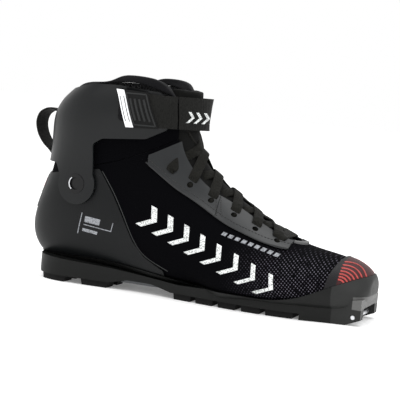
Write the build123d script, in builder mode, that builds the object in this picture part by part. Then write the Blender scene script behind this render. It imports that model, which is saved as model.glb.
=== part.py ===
from build123d import *
import functools
import math
import os

# Right-foot cross country ski boot. Millimetres.
# +X points to the toe, +Y to the inner (medial) side, +Z up; z = 0 is the ground.

# ---- driving dimensions -------------------------------------------------------------

# Stations of the boot's outer skin, toe to collar:
# bottom x, bottom z, top x, top z, half width, sideways shift
STATIONS = [
    (149, 25, 149, 31, 10, 3),
    (146, 17, 147, 37, 20, 3),
    (138, 12, 140, 43, 30, 3),
    (120, 10, 124, 49, 39, 2),
    (92, 9, 98, 54, 45.5, 0),
    (60, 8, 72, 63, 47.5, -1),
    (25, 9, 46, 79, 45.5, -1),
    (-10, 11, 22, 95, 41, 0),
    (-50, 13, 6, 109, 37, 0),
    (-90, 14, -1, 120, 34.5, 0),
    (-125, 17, -4, 130, 33.5, 0),
    (-141, 31, -5, 138, 33.5, 0),
    (-143, 53, -5, 145, 34, 0),
    (-136, 76, -5, 152, 35.5, 0),
    (-129.5, 100, -5, 158, 38, 0),
    (-128.5, 125, -5, 165, 39.5, 0),
    (-121, 150, -6, 173, 40, 0),
    (-97, 172, -10, 184, 38, 0),
]
ANKLE_STATION = 8         # first station of the ankle
ARC_POINTS = 4            # steps in each quarter of a station's outline
MIN_REACH = 1.5           # least half height of a station that is shrunk inward

# Layers, as gaps from the outer skin (positive is outward)
SHELL = (-1.6, 0.0)
OVERLAY = (0.15, 1.4)
SOLE_WALL = (0.15, 2.2)
LINING = (-4.4, -1.9)
TONGUE = (-6.2, -2.0)
BADGE = (1.5, 2.2)
CUFF = (2.4, 5.0)
HOOK_PAD = (5.1, 5.8)
STRAP = (6.0, 7.6)
STRAP_TOP = (7.7, 9.4)
COLLAR_LIP = (-6.0, 2.0)
COLLAR_BAND = (-4.4, 1.2)

WIDE = 70                 # reach of a side-view cut, past the boot's half width

# Sole
SOLE_BASE_Z = 5
ARCH_Z = 9
HEEL_TREADS = [(-126, -101), (-87, -63)]
FOREFOOT_TREADS = [(-4, 12), (16, 32), (36, 52), (56, 72), (76, 98)]
ARCH_RIBS = 9
ARCH_RIB_PITCH = 5
TREAD_GROOVE = (6, 14)    # the binding rails' grooves, distance from the centre line
TOE_BAR_X = 143
TOE_BAR_Z = 6.5
TOE_BAR_R = 2.0
TOE_BLOCK_HALF = 28
TOE_SLOT_HALF = 19

# Cuff pivot
PIVOT_X = -95
PIVOT_Z = 83
EAR_R = 17
PIVOT_HOLE_R = 8.0
PIVOT_PLAY = 0.05
RIVET_R = 5.0

# Strap
STRAP_LOW = 135
STRAP_HIGH = 161
STRAP_HINGE_X = -16       # corner that the flap opens about, on the strap's outer face
STRAP_HINGE_GAP = 1.2
STRAP_CUTS_Z = (125, 172)  # heights between which the flap's cross cuts run
STRAP_LEAN = 14           # how far those cuts lean back over that height
GRIP_X = (-43.6, -26)     # low ends of the grip's and the tip's cuts
TIP_X = (-50, -44)
STRAP_RIVET = (-52, 148)
STRAP_RIVET_R = 2.5
STRAP_RIVET_HEAD_R = 6

# Pull loop on the cuff's back
LOOP_HALF_WIDTH = 9
LOOP_THICKNESS = 2.2

# Laces
LACE_R = 1.45
LACE_LIFT = 2.4           # lace's centre line over the eyestay
LACE_SINK = 1.2           # how much lower it lies over the tongue
LACE_STEP = 3.5           # extra lift of the strands that cross on top
EYELET_R = 2.5
EYELETS = [(-18, 102), (-1, 92), (18, 82), (38, 72), (57, 64), (76, 58)]
EYELET_Y = 24
THROAT_HALF = 13
THROAT_TOE_X = 92
EYESTAY_SEAM_X = 28

# Seams between the upper's panels
QUARTER_SEAM_X = 62
HEEL_SEAM_X = -40
CENTRE_SEAM_Y = 1
BOOT_END_X = 160

# Under the foot, as heights over the skin's bottom line
LASTING_BOARD = (1.8, 3.6)
INSOLE = (3.8, 7.0)

# Side-view lines
SOLE_BOTTOM = [(-128, SOLE_BASE_Z), (-62, SOLE_BASE_Z), (-46, ARCH_Z), (-24, ARCH_Z), (-6, SOLE_BASE_Z),
               (103, SOLE_BASE_Z), (103, 0), (137, 0), (149, 5), (152, 12), (152, 21)]
SOLE_LINE = [(-170, 22), (-101, 22), (-65, 22), (-39, 20), (-13, 17), (14, 14), (56, 13), (76, 13),
             (102, 18), (124, 28), (147, 37), (170, 41)]
SPLIT_LINE = [(-170, 92), (-120, 92), (-78, 100), (-40, 114), (-10, 131), (20, 148), (60, 165), (170, 190)]
EYESTAY_LINE = [(-60, 116), (-39, 106), (-14, 90), (4, 81), (30, 68), (48, 61), (67, 55), (86, 52)]
INSOLE_LINE = [(-131, 17.5), (-110, 15.5), (-90, 14), (-50, 13), (-10, 11), (25, 9), (60, 8), (92, 9),
               (120, 10), (131, 12)]
COLLAR_LINE = [(-170, 133), (-122, 144), (-107, 155), (-84, 161), (-62, 163), (-43, 162), (-27, 158), (10, 156)]
LIP_LINE = [(-170, 136), (-122, 147), (-107, 158), (-84, 164), (-62, 168), (-43, 168), (-28, 163), (10, 161)]
LIP_TOP = [(-170, 140), (-122, 151), (-107, 162), (-84, 167), (-70, 169), (-60, 173.5), (-48, 174.8),
           (-38, 174), (-30, 171.5), (-24, 166), (-19, 160), (10, 157)]


# ---- helpers ------------------------------------------------------------------------

def station_points(station, gap):
    """Plane and outline points of one station, grown outward by gap."""
    low_x, low_z, top_x, top_z, half_width, _ = station
    height = math.hypot(top_x - low_x, top_z - low_z)
    lean = min(1, max(0, (60 - low_x) / 160))
    middle = (0.33 + 0.12 * lean) * height
    low_power = 2 / (3.0 - 0.9 * lean)
    width = half_width + gap
    high_power = 1 + 0.22 * max(0, 1 - abs(low_x) / 110)
    side = []
    for step in range(1, 2 * ARC_POINTS):
        angle = math.pi * step / (2 * ARC_POINTS)
        is_low = angle <= math.pi / 2
        power = low_power if is_low else high_power
        reach = max(MIN_REACH, (middle if is_low else height - middle) + gap)
        rise = math.copysign(abs(math.cos(angle)) ** power, math.cos(angle))
        side.append((width * math.sin(angle) ** power, middle - rise * reach))
    low = (0, middle - max(MIN_REACH, middle + gap))
    top = (0, middle + max(MIN_REACH, height - middle + gap))
    return [low] + side + [top] + [(-across, up) for across, up in reversed(side)]


def station_plane(station, gap):
    """Plane across the boot at a station; at the toe it moves forward with the gap."""
    low_x, low_z, top_x, top_z, _, shift = station
    height = math.hypot(top_x - low_x, top_z - low_z)
    normal = ((top_z - low_z) / height, 0, -(top_x - low_x) / height)
    forward = gap * min(1, max(0, (low_x - 127) / 22))
    return Plane(origin=(low_x + forward, shift, low_z), x_dir=(0, 1, 0), z_dir=normal)


def raised(line, rise):
    """The same side-view line, higher by rise."""
    return [(x, z + rise) for x, z in line]


@functools.cache
def boot_form(gap, first=0):
    """Solid inside the boot's skin, grown outward by gap, from one station to the collar."""
    with BuildPart() as form:
        for station in STATIONS[first:]:
            with BuildSketch(station_plane(station, gap)):
                with BuildLine():
                    Spline(*station_points(station, gap), periodic=True)
                make_face()
        loft()
    return form.part


def ankle_form(gap):
    """The part of the form that the cuff and the strap go round."""
    return boot_form(gap, ANKLE_STATION)


def side_face(points, corner=0):
    """Side-view face, its corners rounded when a radius is given."""
    with BuildSketch(Plane.XZ) as face:
        with BuildLine():
            if corner:
                FilletPolyline(*points, radius=corner, close=True)
            else:
                Polyline(*points, close=True)
        make_face()
    return face.sketch


def above(line, height=200):
    """Side-view face over a line that runs from heel to toe."""
    with BuildSketch(Plane.XZ) as face:
        with BuildLine():
            Spline(*line)
            Polyline(line[-1], (line[-1][0], height), (line[0][0], height), line[0])
        make_face()
    return face.sketch


def below(line, depth=-5):
    """Side-view face under a line that runs from heel to toe."""
    with BuildSketch(Plane.XZ) as face:
        with BuildLine():
            Spline(*line)
            Polyline(line[-1], (line[-1][0], depth), (line[0][0], depth), line[0])
        make_face()
    return face.sketch


def throat_face(half_width, toe_x):
    """Top-view face of the throat opening, round at its toe end."""
    with BuildSketch(Plane.XY.offset(45)) as face:
        with BuildLine():
            heel_half = half_width + 5
            Polyline((toe_x - half_width, -half_width), (20, -heel_half), (-32, -heel_half),
                     (-32, heel_half), (20, heel_half), (toe_x - half_width, half_width))
            ThreePointArc((toe_x - half_width, half_width), (toe_x, 0),
                          (toe_x - half_width, -half_width))
        make_face()
    return face.sketch


def bottom_band(low, high):
    """Side-view face between two heights over the skin's bottom line."""
    line = INSOLE_LINE
    with BuildSketch(Plane.XZ) as face:
        with BuildLine():
            Spline(*[(x, z + low) for x, z in line])
            Line((line[-1][0], line[-1][1] + low), (line[-1][0], line[-1][1] + high))
            Spline(*[(x, z + high) for x, z in reversed(line)])
            Line((line[0][0], line[0][1] + high), (line[0][0], line[0][1] + low))
        make_face()
    return face.sketch


def across_plane(x, z, y=0):
    """Plane whose normal runs to the outer side (-Y), at a side-view point."""
    return Plane(origin=(x, y, z), x_dir=(1, 0, 0), z_dir=(0, -1, 0))


@functools.cache
def skin_exit(start, direction):
    """Where a ray from inside the boot leaves the eyestays' outer face."""
    hits = boot_form(OVERLAY[1]).find_intersection_points(Axis(start, direction))
    return max((point for point, _ in hits), key=lambda point: (point - Vector(start)).dot(Vector(direction)))


def eyelet_plane(index, side):
    """Plane at an eyelet on the outer face, its normal square to the instep there."""
    x, z = EYELETS[index]
    normal = (0.45, 0.6 * side, 0.66)
    inside = (x - 20 * normal[0], side * EYELET_Y - 20 * normal[1], z - 20 * normal[2])
    return Plane(origin=skin_exit(inside, normal), z_dir=normal)


# ---- sole ---------------------------------------------------------------------------

def sole_plan(grow=0):
    """Top-view outline of the sole's foot, from heel to the toe block."""
    half = [(-134, 0), (-130, 17), (-115, 29), (-90, 31), (-55, 29), (-15, 31), (30, 38), (70, 41),
            (100, 38), (122, 31), (136, TOE_BLOCK_HALF)]
    side = [(x, y + grow if y else 0) for x, y in half]
    with BuildSketch(Plane.XY) as plan:
        with BuildLine():
            Spline(*[(x, -y) for x, y in reversed(side)], *side[1:])
            Polyline(side[-1], (149, TOE_BLOCK_HALF + grow), (149, -TOE_BLOCK_HALF - grow),
                     (136, -TOE_BLOCK_HALF - grow))
        make_face()
    return plan.sketch


with BuildPart() as foot:
    extrude(sole_plan(), amount=21)
    extrude(side_face([(-146, 21)] + SOLE_BOTTOM + [(110, 16), (0, 12), (-60, 17)]), amount=WIDE, both=True,
            mode=Mode.INTERSECT)

with BuildPart() as sole_plate:
    add(boot_form(SOLE_WALL[1]))
    extrude(below(SOLE_LINE), amount=WIDE, both=True, mode=Mode.INTERSECT)
    extrude(side_face([(-170, 60), (-170, SOLE_BASE_Z)] + SOLE_BOTTOM + [(170, 60)]), amount=WIDE, both=True,
            mode=Mode.INTERSECT)
    add(foot.part)
    add(boot_form(SOLE_WALL[0]), mode=Mode.SUBTRACT)
    # recess for the binding's jaw, open to the front and below
    extrude(side_face([(130, -2), (131, 8), (137, 12.5), (160, 14), (160, -2)]),
            amount=TOE_SLOT_HALF, both=True, mode=Mode.SUBTRACT)
    with BuildSketch(across_plane(TOE_BAR_X, TOE_BAR_Z)):
        Circle(TOE_BAR_R)
    extrude(amount=WIDE, both=True, mode=Mode.SUBTRACT)
    # grooves that the binding's rails guide
    for side in (-1, 1):
        with Locations((116, side * sum(TREAD_GROOVE) / 2, 0)):
            Box(32, TREAD_GROOVE[1] - TREAD_GROOVE[0], 10, mode=Mode.SUBTRACT)
sole_plate.part.label = "sole_plate"

with BuildPart() as tread_stock:
    extrude(sole_plan(-2), amount=SOLE_BASE_Z)
    for side in (-1, 1):
        with Locations((0, side * sum(TREAD_GROOVE) / 2, 0)):
            Box(400, TREAD_GROOVE[1] - TREAD_GROOVE[0], 20, mode=Mode.SUBTRACT)


def tread_face(spans, rake):
    """Side-view face of the tread blocks, each leaning towards its foot by rake."""
    with BuildSketch(Plane.XZ) as face:
        for start, end in spans:
            with BuildLine():
                Polyline((start, SOLE_BASE_Z), (start + rake, 0), (end - rake, 0), (end, SOLE_BASE_Z),
                         close=True)
            make_face()
    return face.sketch


with BuildPart() as heel_treads:
    add(tread_stock.part)
    extrude(tread_face(HEEL_TREADS, 1.2), amount=WIDE, both=True, mode=Mode.INTERSECT)
heel_treads.part.label = "heel_treads"

with BuildPart() as forefoot_treads:
    add(tread_stock.part)
    extrude(tread_face(FOREFOOT_TREADS, 0.8), amount=WIDE, both=True, mode=Mode.INTERSECT)
forefoot_treads.part.label = "forefoot_treads"

with BuildPart() as arch_ribs:
    # a row of wedge ribs under the waist, between two rails
    for index in range(ARCH_RIBS):
        x = -58 + index * ARCH_RIB_PITCH
        with BuildSketch(Plane.XZ):
            with BuildLine():
                Polyline((x, ARCH_Z), (x + 2, ARCH_Z - 3.4), (x + 4.5, ARCH_Z), close=True)
            make_face()
        extrude(amount=20, both=True)
    for side in (-1, 1):
        with Locations((-36, side * 21.5, ARCH_Z - 1.5)):
            Box(44, 3, 3)
    extrude(side_face([(-56, SOLE_BASE_Z), (-15, SOLE_BASE_Z), (-22, ARCH_Z), (-47, ARCH_Z)]),
            amount=WIDE, both=True, mode=Mode.INTERSECT)
    add(sole_plate.part, mode=Mode.SUBTRACT)
arch_ribs.part.label = "arch_ribs"

with BuildPart() as toe_bar:
    with BuildSketch(across_plane(TOE_BAR_X, TOE_BAR_Z)):
        Circle(TOE_BAR_R)
    extrude(amount=TOE_BLOCK_HALF - 0.5, both=True)
    chamfer(toe_bar.edges().filter_by(GeomType.CIRCLE), 0.4)
toe_bar.part.label = "toe_bar"

# ---- upper --------------------------------------------------------------------------

with BuildPart() as upper_stock:
    add(boot_form(SHELL[1]))
    extrude(below(SPLIT_LINE), amount=WIDE, both=True, mode=Mode.INTERSECT)
    extrude(throat_face(THROAT_HALF, THROAT_TOE_X), amount=160, mode=Mode.SUBTRACT)
    add(boot_form(SHELL[0]), mode=Mode.SUBTRACT)
    with BuildSketch(across_plane(PIVOT_X, PIVOT_Z)):
        Circle(RIVET_R)
    extrude(amount=WIDE, both=True, mode=Mode.SUBTRACT)
    for index in range(1, len(EYELETS)):
        for side in (-1, 1):
            with BuildSketch(eyelet_plane(index, side)):
                Circle(EYELET_R)
            extrude(amount=15, both=True, mode=Mode.SUBTRACT)


def upper_panel(low_x, high_x, side):
    """The upper between two stations, on one side of the centre seam."""
    with BuildPart() as panel:
        add(upper_stock.part)
        with Locations(((low_x + high_x) / 2, CENTRE_SEAM_Y + side * WIDE, 0)):
            Box(high_x - low_x, 2 * WIDE, 4 * WIDE, mode=Mode.INTERSECT)
    return panel.part


with BuildPart() as vamp_outer:
    add(upper_panel(QUARTER_SEAM_X, BOOT_END_X, -1))
vamp_outer.part.label = "vamp_outer"

with BuildPart() as vamp_inner:
    add(upper_panel(QUARTER_SEAM_X, BOOT_END_X, 1))
vamp_inner.part.label = "vamp_inner"

with BuildPart() as quarter_outer:
    add(upper_panel(HEEL_SEAM_X, QUARTER_SEAM_X, -1))
quarter_outer.part.label = "quarter_outer"

with BuildPart() as quarter_inner:
    add(upper_panel(HEEL_SEAM_X, QUARTER_SEAM_X, 1))
quarter_inner.part.label = "quarter_inner"

with BuildPart() as heel_outer:
    add(upper_panel(-BOOT_END_X, HEEL_SEAM_X, -1))
heel_outer.part.label = "heel_outer"

with BuildPart() as heel_inner:
    add(upper_panel(-BOOT_END_X, HEEL_SEAM_X, 1))
heel_inner.part.label = "heel_inner"

with BuildPart() as ankle_shell:
    add(ankle_form(SHELL[1]))
    extrude(above(raised(SPLIT_LINE, 0.3)), amount=WIDE, both=True, mode=Mode.INTERSECT)
    extrude(below(COLLAR_LINE), amount=WIDE, both=True, mode=Mode.INTERSECT)
    extrude(throat_face(THROAT_HALF, THROAT_TOE_X), amount=160, mode=Mode.SUBTRACT)
    add(ankle_form(SHELL[0]), mode=Mode.SUBTRACT)
ankle_shell.part.label = "ankle_shell"

with BuildPart() as toe_guard:
    add(boot_form(OVERLAY[1]))
    extrude(above(raised(SOLE_LINE, 0.2)), amount=WIDE, both=True, mode=Mode.INTERSECT)
    with BuildSketch(Plane.XY):
        with BuildLine():
            ThreePointArc((112, -60), (127, 3), (112, 66))
            Polyline((112, 66), (170, 66), (170, -60), (112, -60))
        make_face()
    extrude(amount=80, mode=Mode.INTERSECT)
    add(boot_form(OVERLAY[0]), mode=Mode.SUBTRACT)
toe_guard.part.label = "toe_guard"

with BuildPart() as heel_counter:
    add(boot_form(OVERLAY[1]))
    extrude(above(raised(SOLE_LINE, 0.2)), amount=WIDE, both=True, mode=Mode.INTERSECT)
    extrude(side_face([(-170, -5), (-8, -5), (-13, 22), (-30, 31), (-41, 42), (-53, 62), (-63, 78),
                       (-76, 97), (-110, 91), (-126, 88), (-170, 88)], corner=2),
            amount=WIDE, both=True, mode=Mode.INTERSECT)
    add(boot_form(OVERLAY[0]), mode=Mode.SUBTRACT)
    with BuildSketch(across_plane(PIVOT_X, PIVOT_Z)):
        Circle(RIVET_R)
    extrude(amount=WIDE, both=True, mode=Mode.SUBTRACT)
heel_counter.part.label = "heel_counter"

with BuildPart() as eyestay_stock:
    add(boot_form(OVERLAY[1]))
    extrude(above(EYESTAY_LINE), amount=WIDE, both=True, mode=Mode.INTERSECT)
    extrude(below(raised(SPLIT_LINE, -3)), amount=WIDE, both=True, mode=Mode.INTERSECT)
    extrude(side_face([(-37, 30), (86, 30), (86, 180), (-37, 180)]), amount=WIDE, both=True,
            mode=Mode.INTERSECT)
    extrude(throat_face(THROAT_HALF, THROAT_TOE_X), amount=160, mode=Mode.SUBTRACT)
    add(boot_form(OVERLAY[0]), mode=Mode.SUBTRACT)
    for index in range(len(EYELETS)):
        for side in (-1, 1):
            with BuildSketch(eyelet_plane(index, side)):
                Circle(EYELET_R)
            extrude(amount=15, both=True, mode=Mode.SUBTRACT)


def eyestay(is_upper, side):
    """One of the four eyestays: the upper or lower row of eyelets, on one side."""
    reach_x = (-60, EYESTAY_SEAM_X - 0.2) if is_upper else (EYESTAY_SEAM_X + 0.2, 100)
    with BuildPart() as panel:
        add(eyestay_stock.part)
        with BuildSketch(Plane.XY):
            with BuildLine():
                Polyline((reach_x[0] - (is_upper is False) * 6, 0), (reach_x[0], side * 60),
                         (reach_x[1], side * 60), (reach_x[1] - is_upper * 6, 0), close=True)
            make_face()
        extrude(amount=180, mode=Mode.INTERSECT)
    return panel.part


with BuildPart() as eyestay_upper_outer:
    add(eyestay(True, -1))
eyestay_upper_outer.part.label = "eyestay_upper_outer"

with BuildPart() as eyestay_lower_outer:
    add(eyestay(False, -1))
eyestay_lower_outer.part.label = "eyestay_lower_outer"

with BuildPart() as eyestay_upper_inner:
    add(eyestay(True, 1))
eyestay_upper_inner.part.label = "eyestay_upper_inner"

with BuildPart() as eyestay_lower_inner:
    add(eyestay(False, 1))
eyestay_lower_inner.part.label = "eyestay_lower_inner"

with BuildPart() as throat_trim:
    # piping round the toe end of the throat
    add(boot_form(OVERLAY[1] + 0.4))
    extrude(throat_face(THROAT_HALF, THROAT_TOE_X + 3), amount=160, mode=Mode.INTERSECT)
    extrude(throat_face(THROAT_HALF, THROAT_TOE_X), amount=160, mode=Mode.SUBTRACT)
    extrude(side_face([(86.5, 30), (110, 30), (110, 90), (86.5, 90)]), amount=WIDE, both=True,
            mode=Mode.INTERSECT)
    add(boot_form(OVERLAY[0]), mode=Mode.SUBTRACT)
throat_trim.part.label = "throat_trim"

with BuildPart() as tongue:
    add(boot_form(TONGUE[1]))
    extrude(throat_face(THROAT_HALF + 3, THROAT_TOE_X + 8), amount=160, mode=Mode.INTERSECT)
    extrude(below([(-60, 169), (-30, 168), (-6, 166), (30, 160), (110, 150)]), amount=WIDE, both=True,
            mode=Mode.INTERSECT)
    add(boot_form(TONGUE[0]), mode=Mode.SUBTRACT)
tongue.part.label = "tongue"

with BuildPart() as foot_lining:
    add(boot_form(LINING[1]))
    extrude(below(SPLIT_LINE), amount=WIDE, both=True, mode=Mode.INTERSECT)
    extrude(above(raised(INSOLE_LINE, INSOLE[1] + 0.2)), amount=WIDE, both=True, mode=Mode.INTERSECT)
    extrude(throat_face(THROAT_HALF + 4, THROAT_TOE_X + 9), amount=160, mode=Mode.SUBTRACT)
    add(boot_form(LINING[0]), mode=Mode.SUBTRACT)
foot_lining.part.label = "foot_lining"

with BuildPart() as ankle_lining:
    add(ankle_form(LINING[1]))
    extrude(above(raised(SPLIT_LINE, 0.3)), amount=WIDE, both=True, mode=Mode.INTERSECT)
    extrude(below(raised(COLLAR_LINE, -0.2)), amount=WIDE, both=True, mode=Mode.INTERSECT)
    extrude(throat_face(THROAT_HALF + 4, THROAT_TOE_X + 9), amount=160, mode=Mode.SUBTRACT)
    add(ankle_form(LINING[0]), mode=Mode.SUBTRACT)
ankle_lining.part.label = "ankle_lining"

with BuildPart() as lasting_board:
    add(boot_form(SHELL[0] - 0.1))
    extrude(bottom_band(*LASTING_BOARD), amount=WIDE, both=True, mode=Mode.INTERSECT)
lasting_board.part.label = "lasting_board"

with BuildPart() as insole:
    add(boot_form(SHELL[0] - 0.2))
    extrude(bottom_band(*INSOLE), amount=WIDE, both=True, mode=Mode.INTERSECT)
insole.part.label = "insole"

with BuildPart() as collar_band:
    add(ankle_form(COLLAR_BAND[1]))
    extrude(above(raised(COLLAR_LINE, 0.1)), amount=WIDE, both=True, mode=Mode.INTERSECT)
    extrude(below(LIP_LINE), amount=WIDE, both=True, mode=Mode.INTERSECT)
    extrude(throat_face(THROAT_HALF + 4, THROAT_TOE_X), amount=160, mode=Mode.SUBTRACT)
    add(ankle_form(COLLAR_BAND[0]), mode=Mode.SUBTRACT)
collar_band.part.label = "collar_band"

with BuildPart() as collar_lip:
    add(ankle_form(COLLAR_LIP[1]))
    extrude(above(raised(LIP_LINE, 0.1)), amount=WIDE, both=True, mode=Mode.INTERSECT)
    extrude(below(LIP_TOP), amount=WIDE, both=True, mode=Mode.INTERSECT)
    extrude(throat_face(THROAT_HALF + 4, THROAT_TOE_X), amount=160, mode=Mode.SUBTRACT)
    add(ankle_form(COLLAR_LIP[0]), mode=Mode.SUBTRACT)
collar_lip.part.label = "collar_lip"

# ---- lace ---------------------------------------------------------------------------


def lace_span(start, end, lift):
    """Round lace from one eyelet over the tongue to another, its centre line lift over the eyestays."""
    ends = [eyelet_plane(*place).offset(lift).origin for place in (start, end)]
    outward = (0.5, 0, 0.87)
    top = skin_exit(((ends[0].X + ends[1].X) / 2 - 15, 0, (ends[0].Z + ends[1].Z) / 2 - 26), outward)
    with BuildPart() as span:
        with BuildLine() as path:
            ThreePointArc(ends[0], top + Vector(*outward) * (lift - LACE_SINK), ends[1])
        with BuildSketch(Plane(origin=path.line @ 0, z_dir=path.line % 0)):
            Circle(LACE_R)
        sweep()
    return span.part


with BuildPart() as lace:
    lowest = len(EYELETS) - 1
    add(lace_span((lowest, -1), (lowest, 1), LACE_LIFT))
    for index in range(lowest):
        for side, over in ((-1, 0), (1, LACE_STEP)):
            add(lace_span((index, side), (index + 1, -side), LACE_LIFT + over))
lace.part.label = "lace"

# ---- cuff ---------------------------------------------------------------------------

with BuildPart() as cuff:
    add(ankle_form(CUFF[1]))
    with BuildSketch(Plane.XZ) as cuff_outline:
        with BuildLine():
            FilletPolyline((-170, 98), (-117, 98), (-109, 85), (-80, 85), (-81, 117), (-73, 122), (-39, 125),
                           (-23, 134), (-27, 163), (-60, 166), (-84, 165.5), (-107, 160), (-122, 149), (-170, 137),
                           radius=4, close=True)
        make_face()
        with Locations((PIVOT_X, PIVOT_Z)):
            Circle(EAR_R)
    extrude(amount=WIDE, both=True, mode=Mode.INTERSECT)
    add(ankle_form(CUFF[0]), mode=Mode.SUBTRACT)
    with BuildSketch(across_plane(PIVOT_X, PIVOT_Z)):
        Circle(PIVOT_HOLE_R)
    extrude(amount=WIDE, both=True, mode=Mode.SUBTRACT)
    with BuildSketch(across_plane(*STRAP_RIVET)):
        Circle(STRAP_RIVET_R)
    extrude(amount=-WIDE, mode=Mode.SUBTRACT)
cuff.part.label = "cuff"

with BuildPart() as pivot_bushings:
    add(ankle_form(CUFF[1] + 0.4))
    with BuildSketch(across_plane(PIVOT_X, PIVOT_Z)):
        Circle(PIVOT_HOLE_R - PIVOT_PLAY)
        Circle(RIVET_R, mode=Mode.SUBTRACT)
    extrude(amount=WIDE, both=True, mode=Mode.INTERSECT)
    add(ankle_form(OVERLAY[1] + 0.15), mode=Mode.SUBTRACT)
pivot_bushings.part.label = "pivot_bushings"

with BuildPart() as pivot_rivets:
    add(ankle_form(CUFF[1] - 1.2))
    with BuildSketch(across_plane(PIVOT_X, PIVOT_Z)):
        Circle(RIVET_R)
    extrude(amount=WIDE, both=True, mode=Mode.INTERSECT)
    add(ankle_form(SHELL[0]), mode=Mode.SUBTRACT)
pivot_rivets.part.label = "pivot_rivets"

# ---- strap --------------------------------------------------------------------------


def strap_stock(layer, grow=0):
    """Band round the ankle in one layer, between the strap's two edges."""
    with BuildPart() as band:
        add(ankle_form(layer[1]))
        extrude(side_face([(-70, STRAP_LOW - 2 - grow), (-24, STRAP_LOW - grow), (20, STRAP_LOW + 1 - grow),
                           (20, STRAP_HIGH + 1 + grow), (-27, STRAP_HIGH + grow), (-70, STRAP_HIGH + 2 + grow)]),
                amount=WIDE, both=True, mode=Mode.INTERSECT)
        add(ankle_form(layer[0]), mode=Mode.SUBTRACT)
    return band.part


def flap_cut(start_x, end_x, end_lean=STRAP_LEAN):
    """Side-view face between two cuts across the flap, which lean back towards their tops."""
    low, high = STRAP_CUTS_Z
    with BuildSketch(Plane.XZ) as face:
        with BuildLine():
            Polyline((start_x, low), (end_x, low), (end_x - end_lean, high), (start_x - STRAP_LEAN, high),
                     close=True)
        make_face()
    return face.sketch


with BuildPart() as strap_band:
    # from the rivet on the inner side, round the front, to the flap's corner
    add(strap_stock(STRAP))
    with BuildSketch(Plane.XY.offset(120)):
        with BuildLine():
            Polyline((STRAP_HINGE_X + STRAP_HINGE_GAP, -80), (STRAP_HINGE_X + STRAP_HINGE_GAP, 0), (-62, 0),
                     (-62, 80), (40, 80), (40, -80), close=True)
        make_face()
    extrude(amount=60, mode=Mode.INTERSECT)
    with BuildSketch(across_plane(*STRAP_RIVET)):
        Circle(STRAP_RIVET_R)
    extrude(amount=-WIDE, mode=Mode.SUBTRACT)
strap_band.part.label = "strap_band"

with BuildPart() as shank:
    add(ankle_form(STRAP[1] + 0.4))
    with BuildSketch(across_plane(*STRAP_RIVET)):
        Circle(STRAP_RIVET_R)
    extrude(amount=-WIDE, mode=Mode.INTERSECT)
    add(ankle_form(CUFF[0] + 0.4), mode=Mode.SUBTRACT)

with BuildPart() as strap_rivet:
    add(ankle_form(STRAP[1] + 1.2))
    with BuildSketch(across_plane(*STRAP_RIVET)):
        Circle(STRAP_RIVET_HEAD_R)
    extrude(amount=-WIDE, mode=Mode.INTERSECT)
    add(ankle_form(STRAP[1]), mode=Mode.SUBTRACT)
    add(shank.part)
strap_rivet.part.label = "strap_rivet"

with BuildPart() as strap_flap:
    add(strap_stock(STRAP))
    extrude(flap_cut(TIP_X[1] + 0.2, STRAP_HINGE_X, end_lean=0), amount=WIDE, mode=Mode.INTERSECT)
strap_flap.part.label = "strap_flap"

with BuildPart() as strap_grip:
    add(strap_stock(STRAP_TOP, grow=0.8))
    extrude(flap_cut(*GRIP_X), amount=WIDE, mode=Mode.INTERSECT)
strap_grip.part.label = "strap_grip"

with BuildPart() as strap_tip:
    add(strap_stock((STRAP[0], STRAP_TOP[1] - 0.6), grow=0.4))
    extrude(flap_cut(*TIP_X), amount=WIDE, mode=Mode.INTERSECT)
strap_tip.part.label = "strap_tip"

with BuildPart() as hook_pad:
    add(ankle_form(HOOK_PAD[1]))
    extrude(side_face([(-60, 138), (-30, 138), (-30, 158), (-60, 158)], corner=3), amount=WIDE,
            mode=Mode.INTERSECT)
    add(ankle_form(HOOK_PAD[0]), mode=Mode.SUBTRACT)
hook_pad.part.label = "hook_pad"

# ---- back ---------------------------------------------------------------------------

with BuildPart() as pull_loop:
    with BuildSketch(Plane.XZ):
        with BuildLine():
            Spline((-120, 138), (-141, 137), (-150, 128), (-144, 113), (-120, 100))
            Line((-120, 100), (-120, 138))
        make_face()
        with BuildLine():
            loop_gap = LOOP_THICKNESS
            Spline((-120, 138 - loop_gap), (-140, 137 - loop_gap), (-150 + loop_gap, 127.5),
                   (-143, 113 + loop_gap), (-120, 101 + loop_gap))
            Line((-120, 101 + loop_gap), (-120, 138 - loop_gap))
        make_face(mode=Mode.SUBTRACT)
    extrude(amount=LOOP_HALF_WIDTH, both=True)
    add(ankle_form(CUFF[1]), mode=Mode.SUBTRACT)
pull_loop.part.label = "pull_loop"

with BuildPart() as heel_badge:
    add(boot_form(BADGE[1]))
    extrude(side_face([(-160, 58), (-131, 58), (-131, 86), (-160, 86)]), amount=14, both=True,
            mode=Mode.INTERSECT)
    add(boot_form(BADGE[0]), mode=Mode.SUBTRACT)
heel_badge.part.label = "heel_badge"

# ---- files --------------------------------------------------------------------------

os.makedirs("parts", exist_ok=True)
pieces = [
    sole_plate, heel_treads, forefoot_treads, arch_ribs, toe_bar, vamp_outer, vamp_inner,
    quarter_outer, quarter_inner, heel_outer, heel_inner, ankle_shell, toe_guard,
    heel_counter, eyestay_upper_outer, eyestay_lower_outer, eyestay_upper_inner, eyestay_lower_inner,
    throat_trim, tongue, foot_lining, ankle_lining, lasting_board, insole, collar_band, collar_lip, lace,
    cuff, pivot_bushings, pivot_rivets, strap_band, strap_rivet, strap_flap, strap_grip, strap_tip,
    hook_pad, pull_loop, heel_badge,
]
for piece in pieces:
    export_step(piece.part, f"parts/{piece.part.label}.step")
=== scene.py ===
import math

import bmesh
import bpy
import numpy as np
from mathutils import Matrix, Vector
from mathutils.bvhtree import BVHTree


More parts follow.
